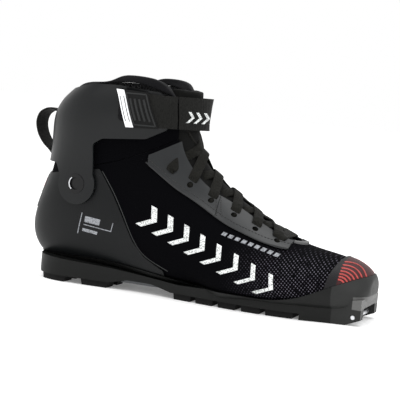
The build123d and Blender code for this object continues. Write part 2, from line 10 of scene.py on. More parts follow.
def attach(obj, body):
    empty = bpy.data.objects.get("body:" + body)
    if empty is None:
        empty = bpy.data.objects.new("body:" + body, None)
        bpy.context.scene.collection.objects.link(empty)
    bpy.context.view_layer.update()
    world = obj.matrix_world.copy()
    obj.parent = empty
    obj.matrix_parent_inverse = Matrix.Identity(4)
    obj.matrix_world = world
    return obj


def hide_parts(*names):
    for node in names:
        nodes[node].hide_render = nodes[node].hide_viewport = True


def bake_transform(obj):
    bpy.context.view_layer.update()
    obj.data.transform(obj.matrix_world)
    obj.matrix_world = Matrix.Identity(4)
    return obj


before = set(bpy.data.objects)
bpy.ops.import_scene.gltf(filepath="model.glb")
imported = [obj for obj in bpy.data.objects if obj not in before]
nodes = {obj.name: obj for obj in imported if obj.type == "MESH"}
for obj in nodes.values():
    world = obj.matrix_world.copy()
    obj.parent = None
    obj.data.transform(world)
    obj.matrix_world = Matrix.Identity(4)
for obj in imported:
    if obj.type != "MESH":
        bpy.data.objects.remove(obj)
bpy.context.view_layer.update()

MM = 0.001
WAVE_BAND = 0.314         # wave texture scale that makes one band per unit of length

# ---- places on the boot, in millimetres ----------------------------------------------

PIVOT = (-95, 83)
EYELETS = [(-18, 102), (-1, 92), (18, 82), (38, 72), (57, 64), (76, 58)]
EYELET_Y = 24
EYELET_NORMAL = (0.45, 0.6, 0.66)
INSTEP_UP = (0.5, 0, 0.87)
EYESTAY_LINE = [(-39, 107), (-14, 91), (4, 82), (30, 69), (48, 62), (67, 56), (86, 53)]
EYESTAY_SEAM = ((28, 71), (22, 86))
HEEL_COUNTER_FRONT = [(-10, 22), (-30, 31), (-41, 42), (-53, 62), (-63, 78), (-75, 95)]

# ---- materials -----------------------------------------------------------------------


class Shader:
    """Builds one procedural material, node by node."""

    def __init__(self, name, color, rough, metallic=0.0, specular=0.5, sheen=0.0, coat=0.0):
        self.material = bpy.data.materials.new(name)
        self.material.use_nodes = True
        self.tree = self.material.node_tree
        self.bsdf = self.tree.nodes["Principled BSDF"]
        self.set(self.bsdf, {
            "Base Color": (*color, 1), "Roughness": rough, "Metallic": metallic,
            "Specular IOR Level": specular, "Sheen Weight": sheen, "Coat Weight": coat})
        self.color = (*color, 1)
        self.place = self.node("ShaderNodeTexCoord").outputs["Object"]
        self.height = None

    def node(self, kind, values=None, **attributes):
        made = self.tree.nodes.new(kind)
        for key, value in attributes.items():
            setattr(made, key, value)
        self.set(made, values or {})
        return made

    def set(self, made, values):
        for key, value in values.items():
            if isinstance(value, bpy.types.NodeSocket):
                self.tree.links.new(value, made.inputs[key])
            else:
                made.inputs[key].default_value = value

    def math(self, operation, a, b=0.0, clamp=False):
        return self.node("ShaderNodeMath", {0: a, 1: b}, operation=operation, use_clamp=clamp).outputs[0]

    def mapped(self, scale, turn=(0, 0, 0)):
        values = {"Vector": self.place, "Scale": scale, "Rotation": turn}
        return self.node("ShaderNodeMapping", values).outputs[0]

    def noise(self, size_mm, detail=3.0, rough=0.55):
        values = {"Vector": self.place, "Scale": 1 / (size_mm * MM), "Detail": detail, "Roughness": rough}
        return self.node("ShaderNodeTexNoise", values).outputs["Fac"]

    def wave(self, size_mm, direction, turn=(0, 0, 0), distort=0.0):
        values = {"Vector": self.mapped((1, 1, 1), turn), "Scale": WAVE_BAND / (size_mm * MM),
                  "Distortion": distort}
        made = self.node("ShaderNodeTexWave", values, bands_direction=direction)
        return made.outputs["Fac"]

    def cells(self, scale_mm, turn=(0, 0, 0), feature="F1"):
        scale = tuple(1 / (size * MM) for size in scale_mm)
        values = {"Vector": self.mapped(scale, turn), "Scale": 1.0}
        return self.node("ShaderNodeTexVoronoi", values, feature=feature).outputs["Distance"]

    def step(self, value, low, high, inverse=False):
        """0 below low, 1 above high, smooth between."""
        values = {"Value": value, "From Min": low, "From Max": high,
                  "To Min": 1.0 if inverse else 0.0, "To Max": 0.0 if inverse else 1.0}
        return self.node("ShaderNodeMapRange", values, interpolation_type="SMOOTHSTEP").outputs[0]

    def axis(self, name):
        return self.node("ShaderNodeSeparateXYZ", {"Vector": self.place}).outputs[name]

    def tint(self, factor, color):
        """Mix a second colour over what the base colour holds now."""
        socket = self.bsdf.inputs["Base Color"]
        below = socket.links[0].from_socket if socket.links else self.color
        mix = self.node("ShaderNodeMix", data_type="RGBA")
        self.set(mix, {"Factor": factor, 6: below, 7: (*color, 1)})
        self.tree.links.new(mix.outputs[2], socket)
        return self

    def roughen(self, value, low, high):
        values = {"Value": value, "To Min": low, "To Max": high}
        self.set(self.bsdf, {"Roughness": self.node("ShaderNodeMapRange", values).outputs[0]})
        return self

    def bump(self, height, depth_mm, strength=1.0):
        values = {"Height": height, "Distance": depth_mm * MM, "Strength": strength}
        if self.height is not None:
            values["Normal"] = self.height
        self.height = self.node("ShaderNodeBump", values).outputs["Normal"]
        self.set(self.bsdf, {"Normal": self.height})
        return self

    def done(self):
        return self.material


def softshell():
    """Tight knit, with an open dotted mesh over the forefoot."""
    shader = Shader("softshell_knit", (0.0011, 0.0011, 0.0016), 0.85, specular=0.03, sheen=0.0)
    fine = shader.math("MULTIPLY", shader.wave(0.9, "X", (0, 0.5, 0)), shader.wave(0.9, "Z", (0, 0.5, 0)))
    shader.bump(fine, 0.12)
    forward = shader.step(shader.axis("X"), 0.035, 0.095)
    low = shader.step(shader.axis("Z"), 0.040, 0.056, inverse=True)
    rows = shader.math("MULTIPLY", shader.wave(2.0, "X", (0, 0.9, 0)), shader.wave(2.0, "X", (0, -0.5, 0)))
    holes = shader.step(rows, 0.42, 0.75)
    zone = shader.math("MULTIPLY", forward, low)
    dots = shader.math("MULTIPLY", holes, zone)
    patchy = shader.math("MULTIPLY", dots, shader.step(shader.noise(3.0), 0.30, 0.60))
    shader.tint(patchy, (0.105, 0.098, 0.120))
    shader.bump(shader.math("MULTIPLY", shader.cells((2.3, 2.3, 1.7), (0, 0.45, 0)), zone), 0.35)
    return shader.done()


def moulded(name, color, rough, mottle=0.06, grain=0.05, shine=0.22):
    """Moulded plastic with a faint leather grain."""
    shader = Shader(name, color, rough, specular=shine)
    shader.roughen(shader.noise(9.0), rough - mottle, rough + mottle)
    shader.bump(shader.noise(0.55, 4.0), grain)
    return shader.done()


def sole_plastic():
    shader = Shader("sole_plastic", (0.0052, 0.0055, 0.0052), 0.5, specular=0.16)
    nose = shader.step(shader.axis("X"), 0.126, 0.1268)
    shader.tint(nose, (0.018, 0.0185, 0.018))
    lip = shader.math("MULTIPLY", shader.step(shader.axis("X"), 0.1415, 0.1420),
                      shader.step(shader.axis("Z"), 0.022, 0.0225, inverse=True))
    above_lip = shader.step(shader.axis("Z"), 0.0125, 0.013)
    shader.tint(shader.math("MULTIPLY", lip, above_lip), (0.10, 0.10, 0.098))
    shader.roughen(shader.noise(7.0), 0.42, 0.56)
    shader.bump(shader.noise(0.5, 4.0), 0.06)
    return shader.done()


def toe_film():
    """Printed film on the toe: black over the vamp, dark red at the nose."""
    shader = Shader("toe_film", (0.0045, 0.0042, 0.0050), 0.5, specular=0.2)
    shader.tint(shader.step(shader.axis("X"), 0.1285, 0.1295), (0.034, 0.0065, 0.0075))
    shader.bump(shader.noise(0.55, 4.0), 0.1)
    return shader.done()


def rubber(name, color=(0.005, 0.005, 0.005)):
    shader = Shader(name, color, 0.72, specular=0.16)
    shader.roughen(shader.noise(4.0), 0.64, 0.82)
    shader.bump(shader.noise(0.4, 5.0), 0.10)
    return shader.done()


def woven(name, color, pitch=0.8, depth=0.16, rough=0.8, turn=(0, 0, 0), specular=0.12):
    """Webbing or tape: crossing threads in both directions."""
    shader = Shader(name, color, rough, specular=specular, sheen=0.02)
    weave = shader.math("ADD", shader.wave(pitch, "Z", turn, 0.4), shader.wave(pitch * 1.6, "X", turn, 0.4))
    shader.bump(weave, depth)
    dark = tuple(value * 0.55 for value in color)
    shader.tint(shader.step(shader.noise(2.0), 0.45, 0.75), dark)
    return shader.done()


def lace_tape():
    shader = Shader("lace_tape", (0.0088, 0.0086, 0.0070), 0.82, specular=0.10, sheen=0.02)
    shader.bump(shader.math("MULTIPLY", shader.wave(0.75, "X", (0.5, 0.3, 0.9)),
                            shader.wave(0.75, "Y", (0.5, 0.3, 0.9))), 0.22)
    shader.tint(shader.step(shader.noise(1.2), 0.4, 0.7), (0.0040, 0.0039, 0.0032))
    return shader.done()


def brushed(name, color, rough=0.32, metallic=1.0):
    shader = Shader(name, color, rough, metallic=metallic)
    values = {"Vector": shader.mapped((300, 3000, 3000)), "Scale": 1.0, "Detail": 2.0}
    streaks = shader.node("ShaderNodeTexNoise", values).outputs["Fac"]
    shader.roughen(streaks, rough - 0.08, rough + 0.12)
    shader.bump(streaks, 0.02)
    return shader.done()


def print_ink(name, color, rough=0.6, worn=0.5):
    """Screen print on knit: the threads show through as specks."""
    shader = Shader(name, color, rough, specular=0.3)
    specks = shader.step(shader.cells((1.0, 1.0, 0.8), (0, 0.45, 0)), 0.52, 0.66)
    shader.tint(shader.math("MULTIPLY", specks, worn), tuple(value * 0.22 for value in color))
    shader.bump(shader.noise(0.7), 0.08)
    return shader.done()


def foam_fabric(name, color):
    shader = Shader(name, color, 0.85, specular=0.12, sheen=0.02)
    shader.bump(shader.noise(0.6, 4.0), 0.14)
    shader.bump(shader.noise(7.0, 2.0), 0.35)
    return shader.done()


def loop_tape(name, color):
    """Hook tape: a field of short stiff hooks."""
    shader = Shader(name, color, 0.9, specular=0.2)
    shader.bump(shader.step(shader.cells((0.9, 0.9, 0.9)), 0.1, 0.5, inverse=True), 0.4)
    return shader.done()


MATERIALS = {
    "softshell": softshell(),
    "sole": sole_plastic(),
    "tread": rubber("tread_rubber"),
    "arch": moulded("arch_insert", (0.10, 0.105, 0.11), 0.22, 0.04, 0.02),
    "steel": brushed("pin_steel", (0.62, 0.63, 0.65)),
    "toe_film": toe_film(),
    "stripe": print_ink("stripe_ink", (0.36, 0.045, 0.040), 0.5, 0.35),
    "counter": moulded("counter_tpu", (0.0032, 0.0037, 0.0040), 0.44, shine=0.16),
    "cuff": moulded("cuff_plastic", (0.0042, 0.0048, 0.0052), 0.36, shine=0.22),
    "eyestay": moulded("eyestay_tpu", (0.0098, 0.0110, 0.0120), 0.38, 0.05, 0.03, 0.30),
    "piping": rubber("seam_piping", (0.030, 0.031, 0.031)),
    "light_piping": rubber("throat_piping", (0.12, 0.12, 0.12)),
    "thread": woven("seam_thread", (0.045, 0.045, 0.044), 0.3, 0.1),
    "tongue": foam_fabric("tongue_fabric", (0.0036, 0.0036, 0.0033)),
    "lining": foam_fabric("lining_fabric", (0.010, 0.010, 0.0115)),
    "padding": foam_fabric("collar_fabric", (0.0052, 0.0052, 0.0060)),
    "mesh": woven("spacer_mesh", (0.0035, 0.0035, 0.0040), 1.4, 0.4),
    "mesh_thread": rubber("mesh_thread", (0.017, 0.017, 0.018)),
    "board": woven("lasting_board", (0.30, 0.28, 0.23), 1.0, 0.1),
    "insole": foam_fabric("insole_foam", (0.05, 0.05, 0.06)),
    "lace": lace_tape(),
    "webbing": woven("strap_webbing", (0.0092, 0.0092, 0.0084), 0.7, 0.16),
    "grip": rubber("grip_rubber", (0.0045, 0.0046, 0.0046)),
    "grip_rib": rubber("grip_rib_rubber", (0.022, 0.023, 0.023)),
    "tip": moulded("tip_plate", (0.86, 0.87, 0.88), 0.32, 0.06, 0.01),
    "hook": loop_tape("hook_tape", (0.003, 0.003, 0.0035)),
    "bushing": moulded("bushing_plastic", (0.0035, 0.0035, 0.0038), 0.4),
    "rivet": moulded("rivet_black", (0.0045, 0.0045, 0.0048), 0.35),
    "crescent": brushed("crescent_steel", (0.62, 0.63, 0.65), 0.3),
    "ink": print_ink("white_ink", (0.72, 0.74, 0.73), 0.55, 0.75),
    "fine_ink": print_ink("caption_ink", (0.26, 0.27, 0.29), 0.55, 0.6),
    "badge_gray": moulded("badge_gloss", (0.085, 0.09, 0.09), 0.2, 0.04, 0.01),
    "badge_white": moulded("badge_white", (0.70, 0.69, 0.66), 0.35, 0.04, 0.02),
    "badge_red": woven("badge_red", (0.36, 0.045, 0.07), 1.2, 0.3),
}


def paint(obj, name):
    obj.data.materials.clear()
    obj.data.materials.append(MATERIALS[name])
    return obj


# ---- mesh helpers --------------------------------------------------------------------


def tree_of(*names):
    """Ray-cast tree of the named CAD nodes together."""
    corners, faces = [], []
    for name in names:
        mesh = nodes[name].data
        start = len(corners)
        corners += [vertex.co.copy() for vertex in mesh.vertices]
        faces += [[start + index for index in face.vertices] for face in mesh.polygons]
    return BVHTree.FromPolygons(corners, faces)


def add_mesh(name, corners, faces, material, smooth=True):
    mesh = bpy.data.meshes.new(name)
    mesh.from_pydata([tuple(corner) for corner in corners], [], faces)
    mesh.update()
    obj = bpy.data.objects.new(name, mesh)
    bpy.context.scene.collection.objects.link(obj)
    for polygon in mesh.polygons:
        polygon.use_smooth = smooth
    return paint(obj, material)


def tidy_normals(obj):
    made = bmesh.new()
    made.from_mesh(obj.data)
    bmesh.ops.remove_doubles(made, verts=made.verts, dist=1e-6)
    bmesh.ops.recalc_face_normals(made, faces=made.faces)
    made.to_mesh(obj.data)
    made.free()
    return obj


def apply_modifiers(obj):
    """Bake the modifiers into the mesh."""
    graph = bpy.context.evaluated_depsgraph_get()
    mesh = bpy.data.meshes.new_from_object(obj.evaluated_get(graph))
    obj.modifiers.clear()
    obj.data = mesh
    return obj


def bevel(obj, width_mm, segments=3, angle=35):
    made = obj.modifiers.new("edge_round", "BEVEL")
    made.width = width_mm * MM
    made.segments = segments
    made.limit_method = "ANGLE"
    made.angle_limit = math.radians(angle)
    made.harden_normals = False
    return obj


def smooth_path(points, count):
    """Catmull-Rom curve through points, with even parameter steps."""
    knots = [np.array(point, float) for point in points]
    knots = [2 * knots[0] - knots[1]] + knots + [2 * knots[-1] - knots[-2]]
    path = []
    for step in range(count):
        place = step / (count - 1) * (len(knots) - 3)
        index = min(int(place), len(knots) - 4)
        t = place - index
        a, b, c, d = knots[index:index + 4]
        path.append(0.5 * (2 * b + (c - a) * t + (2 * a - 5 * b + 4 * c - d) * t ** 2
                           + (3 * b - a - 3 * c + d) * t ** 3))
    return path


def cast(tree, point, direction, reach=120):
    """First hit going inward along direction, from outside: place and outward normal, in metres."""
    direction = Vector(direction).normalized()
    start = Vector(point) * MM - direction * reach * MM
    place, normal, _, _ = tree.ray_cast(start, direction)
    if place is None:
        return None, None
    if normal.dot(direction) > 0:
        normal = -normal
    return place, normal


def sweep(name, path, normals, section, material, closed=False):
    """Sweep a section (across, outward) along a path, kept square to the normals. Metres."""
    count = len(path)
    corners, faces = [], []
    ring = len(section)
    for index in range(count):
        ahead = path[(index + 1) % count] if closed or index < count - 1 else path[index]
        behind = path[index - 1] if closed or index > 0 else path[index]
        along = (Vector(ahead) - Vector(behind)).normalized()
        outward = Vector(normals[index])
        outward = (outward - along * outward.dot(along)).normalized()
        across = along.cross(outward)
        for a, b in section:
            corners.append(Vector(path[index]) + across * a + outward * b)
    for index in range(count if closed else count - 1):
        here, there = index * ring, (index + 1) % count * ring
        for k in range(ring):
            n = (k + 1) % ring
            faces.append((here + k, here + n, there + n, there + k))
    if not closed:
        faces.append(tuple(range(ring)))
        faces.append(tuple(reversed(range((count - 1) * ring, count * ring))))
    return tidy_normals(add_mesh(name, corners, faces, material))


def flat_section(width_mm, thick_mm, power=4, steps=16):
    """Rounded flat section, such as a lace's."""
    section = []
    for step in range(steps):
        angle = 2 * math.pi * step / steps
        a = math.copysign(abs(math.cos(angle)) ** (2 / power), math.cos(angle))
        b = math.copysign(abs(math.sin(angle)) ** (2 / power), math.sin(angle))
        section.append((a * width_mm / 2 * MM, b * thick_mm / 2 * MM))
    return section


def round_section(radius_mm, steps=8):
    return flat_section(2 * radius_mm, 2 * radius_mm, power=2, steps=steps)


def join(name, objects):
    """Join mesh objects into one."""
    corners, faces = [], []
    for obj in objects:
        start = len(corners)
        corners += [vertex.co.copy() for vertex in obj.data.vertices]
        faces += [tuple(start + index for index in face.vertices) for face in obj.data.polygons]
    material = objects[0].data.materials[0]
    for obj in objects:
        bpy.data.objects.remove(obj)
    made = add_mesh(name, corners, faces, "sole")
    made.data.materials.clear()
    made.data.materials.append(material)
    return made


def side_point(x, z, y=0):
    return (x, y, z)


def draped_path(tree, points, direction, lift_mm, count=80):
    """A smooth curve laid on a surface: places and normals, in metres."""
    path, normals = [], []
    for point in smooth_path(points, count):
        place, normal = cast(tree, point, direction)
        if place is not None:
            path.append(place + normal * lift_mm * MM)
            normals.append(normal)
    return path, normals


def draped_tube(name, tree, points, direction, radius_mm, material, lift_mm=0.0, count=80):
    path, normals = draped_path(tree, points, direction, lift_mm, count)
    return sweep(name, path, normals, round_section(radius_mm), material)


def stitches(name, tree, points, direction, material="thread", pitch_mm=2.6, radius_mm=0.28, lift_mm=0.1):
    """A row of short stitches along a curve laid on a surface."""
    path, normals = draped_path(tree, points, direction, lift_mm, 400)
    made, run, start = [], 0.0, 0
    for index in range(1, len(path)):
        run += (path[index] - path[index - 1]).length
        if run >= pitch_mm * MM:
            run = 0.0
            cut = start + max(2, int((index - start) * 0.72))
            if cut - start >= 2:
                middle = (start + cut) // 2
                bits = [path[start] - normals[start] * 0.25 * MM, path[middle] + normals[middle] * 0.12 * MM,
                        path[cut] - normals[cut] * 0.25 * MM]
                section = round_section(radius_mm, 6)
                made.append(sweep(name + "_bit", bits, [normals[start]] * 3, section, material))
            start = index
    return join(name, made)


def draped_patch(name, tree, outline, direction, plane, material, lift_mm=0.1, thick_mm=0.25, cell_mm=1.6,
                 holes=()):
    """A flat outline laid on a surface, with thickness. plane maps (u, v) to a point in millimetres."""
    made = bmesh.new()
    edges = []
    for loop in (outline, *holes):
        ring = [made.verts.new(plane(*point)) for point in loop]
        edges += [made.edges.new((ring[i], ring[(i + 1) % len(ring)])) for i in range(len(ring))]
    bmesh.ops.triangle_fill(made, use_beauty=True, use_dissolve=False, edges=edges)
    for _ in range(7):
        long = [edge for edge in made.edges if edge.calc_length() > cell_mm]
        if not long:
            break
        bmesh.ops.subdivide_edges(made, edges=long, cuts=1)
        bmesh.ops.triangulate(made, faces=made.faces)
    lost = []
    outward = Vector(direction).normalized() * -1
    for vertex in made.verts:
        place, normal = cast(tree, vertex.co, direction)
        if place is None:
            lost.append(vertex)
        else:
            vertex.co = place + normal * lift_mm * MM
    bmesh.ops.delete(made, geom=lost, context="VERTS")
    bmesh.ops.recalc_face_normals(made, faces=made.faces)
    made.normal_update()
    total = sum((face.normal for face in made.faces), Vector())
    if total.dot(outward) < 0:
        bmesh.ops.reverse_faces(made, faces=made.faces)
    mesh = bpy.data.meshes.new(name)
    made.to_mesh(mesh)
    made.free()
    obj = bpy.data.objects.new(name, mesh)
    bpy.context.scene.collection.objects.link(obj)
    solid = obj.modifiers.new("thickness", "SOLIDIFY")
    solid.thickness = thick_mm * MM
    solid.offset = 1
    paint(apply_modifiers(obj), material)
    for polygon in obj.data.polygons:
        polygon.use_smooth = False
    return obj


def softened(name, node, material, voxel_mm=0.9, rounds=4, wrinkle_mm=0.0, wrinkle_size_mm=12, grow_mm=0.0):
    """Soft copy of a CAD node: even mesh, rounded edges and slow wrinkles."""
    obj = bpy.data.objects.new(name, nodes[node].data.copy())
    bpy.context.scene.collection.objects.link(obj)
    remesh = obj.modifiers.new("even", "REMESH")
    remesh.mode = "VOXEL"
    remesh.voxel_size = voxel_mm * MM
    remesh.use_smooth_shade = True
    smooth = obj.modifiers.new("round", "SMOOTH")
    smooth.iterations = rounds
    smooth.factor = 0.5
    if wrinkle_mm:
        texture = bpy.data.textures.new(name, "CLOUDS")
        texture.noise_scale = wrinkle_size_mm * MM
        folds = obj.modifiers.new("folds", "DISPLACE")
        folds.texture = texture
        folds.texture_coords = "LOCAL"
        folds.strength = wrinkle_mm * MM
        folds.mid_level = 0.5 - grow_mm / wrinkle_mm * 0.5
    apply_modifiers(obj)
    for polygon in obj.data.polygons:
        polygon.use_smooth = True
    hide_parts(node)
    return paint(obj, material)


UPPER = ("vamp_outer", "vamp_inner", "quarter_outer", "quarter_inner", "heel_outer", "heel_inner")

# ---- CAD nodes that are shown as they are --------------------------------------------

SHOWN = {
    "sole_plate": ("sole", 0.6), "heel_treads": ("tread", 0.5), "forefoot_treads": ("tread", 0.5),
    "arch_ribs": ("arch", 0.15), "toe_bar": ("steel", 0.15),
    "vamp_outer": ("softshell", 0), "vamp_inner": ("softshell", 0),
    "quarter_outer": ("softshell", 0), "quarter_inner": ("softshell", 0),
    "heel_outer": ("softshell", 0), "heel_inner": ("softshell", 0),
    "toe_guard": ("toe_film", 0.25), "heel_counter": ("counter", 0.45),
    "eyestay_upper_outer": ("eyestay", 0.3), "eyestay_lower_outer": ("eyestay", 0.3),
    "eyestay_upper_inner": ("eyestay", 0.3), "eyestay_lower_inner": ("eyestay", 0.3),
    "throat_trim": ("light_piping", 0.3), "foot_lining": ("lining", 0), "lasting_board": ("board", 0),
    "insole": ("insole", 0.5), "collar_band": ("mesh", 0), "cuff": ("cuff", 0.7),
    "pivot_bushings": ("bushing", 0.3), "pivot_rivets": ("rivet", 0.5), "strap_band": ("webbing", 0.4),
    "strap_rivet": ("rivet", 0.4), "strap_flap": ("webbing", 0.4), "strap_grip": ("grip", 0.4),
    "strap_tip": ("tip", 0.8), "hook_pad": ("hook", 0.15), "heel_badge": ("badge_gray", 0.2),
}
for node_name, (material_name, edge_mm) in SHOWN.items():
    shown = paint(nodes[node_name], material_name)
    if edge_mm:
        bevel(shown, edge_mm)

# ---- soft pieces ---------------------------------------------------------------------


def cross_joint(obj):
    """Fabric across the cuff joint: bakes its transform into the mesh and leaves it still."""
    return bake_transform(obj)


tongue = softened("tongue_pad", "tongue", "tongue", 1.0, 8, 1.2, 14)
cross_joint(tongue)

ankle = softened("ankle_softshell", "ankle_shell", "softshell", 0.7, 2, 0.8, 18)
cross_joint(ankle)

ankle_inside = softened("ankle_pad", "ankle_lining", "lining", 1.0, 5, 0.8, 16)
cross_joint(ankle_inside)

lip = softened("collar_roll", "collar_lip", "padding", 0.8, 14, 0.6, 20)
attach(lip, "cuff")

# ---- laces ---------------------------------------------------------------------------

over_tree = tree_of("eyestay_upper_outer", "eyestay_lower_outer", "eyestay_upper_inner",
                    "eyestay_lower_inner", *UPPER, "tongue", "throat_trim", "ankle_shell")
LACE_WIDTH = 8.4
LACE_THICK = 1.5


stay_tree = tree_of("eyestay_upper_outer", "eyestay_lower_outer",
                    "eyestay_upper_inner", "eyestay_lower_inner")


def eyelet_place(index, side):
    """Centre of an eyelet level with its rim, in metres, and the eyestay's normal there."""
    x, z = EYELETS[index]
    toward = Vector((EYELET_NORMAL[0], EYELET_NORMAL[1] * side, EYELET_NORMAL[2])).normalized()
    middle = Vector((x, side * EYELET_Y, z))
    first = toward.orthogonal().normalized()
    second = toward.cross(first)
    depths, normals = [], []
    for angle in range(0, 360, 30):
        spoke = first * math.cos(math.radians(angle)) + second * math.sin(math.radians(angle))
        hit, normal = cast(stay_tree, middle + spoke * 4.2, -toward, 40)
        if hit is not None:
            depths.append((hit - middle * MM).dot(toward))
            normals.append(normal)
    depth = sorted(depths)[len(depths) // 2]
    return middle * MM + toward * depth, sum(normals, Vector()).normalized()


def taut(heights, slack):
    """Heights of a band pulled over bumps: the upper hull of the heights, eased by slack."""
    count = len(heights)
    hull = []
    for index in range(count):
        while len(hull) > 1:
            (i, a), (j, b) = hull[-2], hull[-1]
            if (b - a) * (index - i) <= (heights[index] - a) * (j - i):
                hull.pop()
            else:
                break
        hull.append((index, heights[index]))
    spread = np.interp(range(count), [i for i, _ in hull], [h for _, h in hull])
    return spread * (1 - slack) + np.array(heights) * slack


def lace_strand(name, start, end, layer_mm, dive=True, samples=44):
    """One strand: out of an eyelet, over the tongue, and under the far eyestay or into its eyelet."""
    (a, a_normal), (b, b_normal) = eyelet_place(*start), eyelet_place(*end)
    up = Vector(INSTEP_UP).normalized()
    goal = b + Vector((0, -end[1] * 9.5 * MM, 0)) if dive else b
    heights, points, normals = [], [], []
    for index in range(samples):
        t = index / (samples - 1)
        point = a.lerp(goal, t)
        hit, _ = cast(over_tree, point / MM, -up, 60)
        heights.append((hit - point).dot(up) if hit is not None else 0.0)
        points.append(point)
        lean = a_normal.lerp(up, min(1, t * 2.4)) if t < 0.5 else up.lerp(b_normal, t * 2 - 1)
        normals.append(lean.normalized())
    heights = list(taut(heights, 0.2))
    path = [a - a_normal * 2.6 * MM]
    facing = [a_normal]
    for index, point in enumerate(points):
        t = index / (samples - 1)
        lift = (LACE_THICK / 2 + 0.35 + layer_mm * math.sin(math.pi * t) ** 2) * MM
        rise = min(1.0, 0.55 + t * 6)
        if dive and t > 0.86:
            lift -= (t - 0.86) / 0.14 * 5.0 * MM
        path.append(point + up * (heights[index] + lift * rise))
        facing.append(normals[index])
    if not dive:
        path.append(b - b_normal * 2.6 * MM)
        facing.append(b_normal)
    for _ in range(2):
        middle = [(path[i - 1] + path[i] * 2 + path[i + 1]) / 4 for i in range(1, len(path) - 1)]
        path = [path[0], *middle, path[-1]]
    return sweep(name, path, facing, flat_section(LACE_WIDTH, LACE_THICK), "lace")


lace_bits = []
lowest = len(EYELETS) - 1
lace_bits.append(lace_strand("lace_low", (lowest, -1), (lowest, 1), 0.0, dive=False))
for index in range(1, len(EYELETS)):
    lace_bits.append(lace_strand(f"lace_near_{index}", (index, -1), (index - 1, 1), 2.4))
    lace_bits.append(lace_strand(f"lace_far_{index}", (index, 1), (index - 1, -1), 0.3))


def lace_tail(side, layer_mm):
    """From the top eyelet over the tongue and up behind the strap."""
    a, normal = eyelet_place(0, side)
    up = Vector((0.86, 0, 0.5)).normalized()
    points = [a - normal * 3 * MM, a + normal * 1.4 * MM, Vector((-11, side * 17, 112)) * MM,
              Vector((-5 + layer_mm, side * 4, 121)) * MM, Vector((-10 + layer_mm, -side * 6, 130)) * MM,
              Vector((-16, -side * 10, 142)) * MM]
    path = [Vector(p) for p in smooth_path([tuple(point) for point in points], 40)]
    normals = [normal.lerp(up, min(1, i / 18)).normalized() for i in range(40)]
    return sweep("lace_tail", path, normals, flat_section(LACE_WIDTH, LACE_THICK), "lace")


lace_bits += [lace_tail(-1, 2.0), lace_tail(1, 0.4)]
lace = join("lace_flat", lace_bits)
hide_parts("lace")
cross_joint(lace)

# ---- seams, piping and prints on the upper -------------------------------------------

upper_tree = tree_of(*UPPER)
skin_tree = tree_of(*UPPER, "eyestay_upper_outer", "eyestay_lower_outer", "eyestay_upper_inner",
                    "eyestay_lower_inner", "heel_counter", "ankle_shell")
for side, word in ((-1, "outer"), (1, "inner")):
    toward = (0, -side, 0)
    edge = [side_point(x, z - 0.6) for x, z in EYESTAY_LINE]
    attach(draped_tube(f"eyestay_piping_{word}", skin_tree, edge, toward, 0.6, "piping"), "boot")
    inside = [side_point(x + 1.2, z + 2.6) for x, z in EYESTAY_LINE]
    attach(stitches(f"eyestay_stitches_{word}", skin_tree, inside, toward), "boot")
    for shift in (-1.6, 2.0):
        seam = [side_point(x + shift, z) for x, z in EYESTAY_SEAM]
        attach(stitches(f"eyestay_seam_{word}_{'a' if shift < 0 else 'b'}", skin_tree, seam, toward,
                         pitch_mm=2.2), "boot")
    front = [side_point(x + 1.0, z + 0.3) for x, z in HEEL_COUNTER_FRONT]
    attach(draped_tube(f"counter_seam_{word}", upper_tree, front, toward, 0.45, "piping"), "boot")


def slanted(origin, angle, shear):
    """Flat side-view frame: (u, v) to a point, with u along the row and v leaning by shear."""
    c, s = math.cos(math.radians(angle)), math.sin(math.radians(angle))

    def plane(u, v):
        across = u + v * shear
        return (origin[0] + across * c - v * s, 0, origin[1] + across * s + v * c)
    return plane


def bar(u0, u1, v0, v1):
    return [(u0, v0), (u1, v0), (u1, v1), (u0, v1)]


row = slanted((-40, 57), -20, 0.30)
ROW_HEIGHT = 19
STROKE = 5.6
STROKE_LOSS = 0.25        # how much thinner each next chevron of the row is
ROW_PITCH = 16.2
CHEVRON_POINT = 0.42      # reach of a chevron's point, over its height


def chevron(u, stroke, height):
    """An arrowhead pointing along the row."""
    point = height * CHEVRON_POINT
    return [(u, 0), (u + stroke, 0), (u + stroke + point, height / 2),
            (u + stroke, height), (u, height), (u + point, height / 2)]


prints = []
for number in range(8):
    start = number * ROW_PITCH
    outline = chevron(start, STROKE - number * STROKE_LOSS, ROW_HEIGHT)
    prints.append(draped_patch(f"print_{number}", upper_tree, outline, (0, 1, 0), row, "ink"))
side_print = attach(join("side_print", prints), "boot")

caption = slanted((34, 57.5), -14, 0.3)
CAPTION_PITCH = 5.6
CAPTION_BAR = (3.6, 2.6)
prints = []
for number in range(9):
    start = number * CAPTION_PITCH
    outline = bar(start, start + CAPTION_BAR[0], 0, CAPTION_BAR[1])
    prints.append(draped_patch(f"caption_{number}", upper_tree, outline, (0, 1, 0), caption,
                               "fine_ink", thick_mm=0.15))
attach(join("caption_print", prints), "boot")

counter_tree = tree_of("heel_counter")
tag = slanted((-92, 44), -6, 0.1)
# Bars and lines of the print: low u, high u, low v, high v
TAG_BARS = [(0, 0.8, -2, 16), (4, 30, 6.4, 7.1), (29.3, 30, 6.4, 14),
            (4, 18, 9, 14), (4, 18, 1, 3.6)]
prints = []
for number, box in enumerate(TAG_BARS):
    prints.append(draped_patch(f"tag_{number}", counter_tree, bar(*box), (0, 1, 0), tag,
                               "fine_ink", thick_mm=0.12))
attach(join("heel_print", prints), "boot")

# ---- toe stripes ---------------------------------------------------------------------

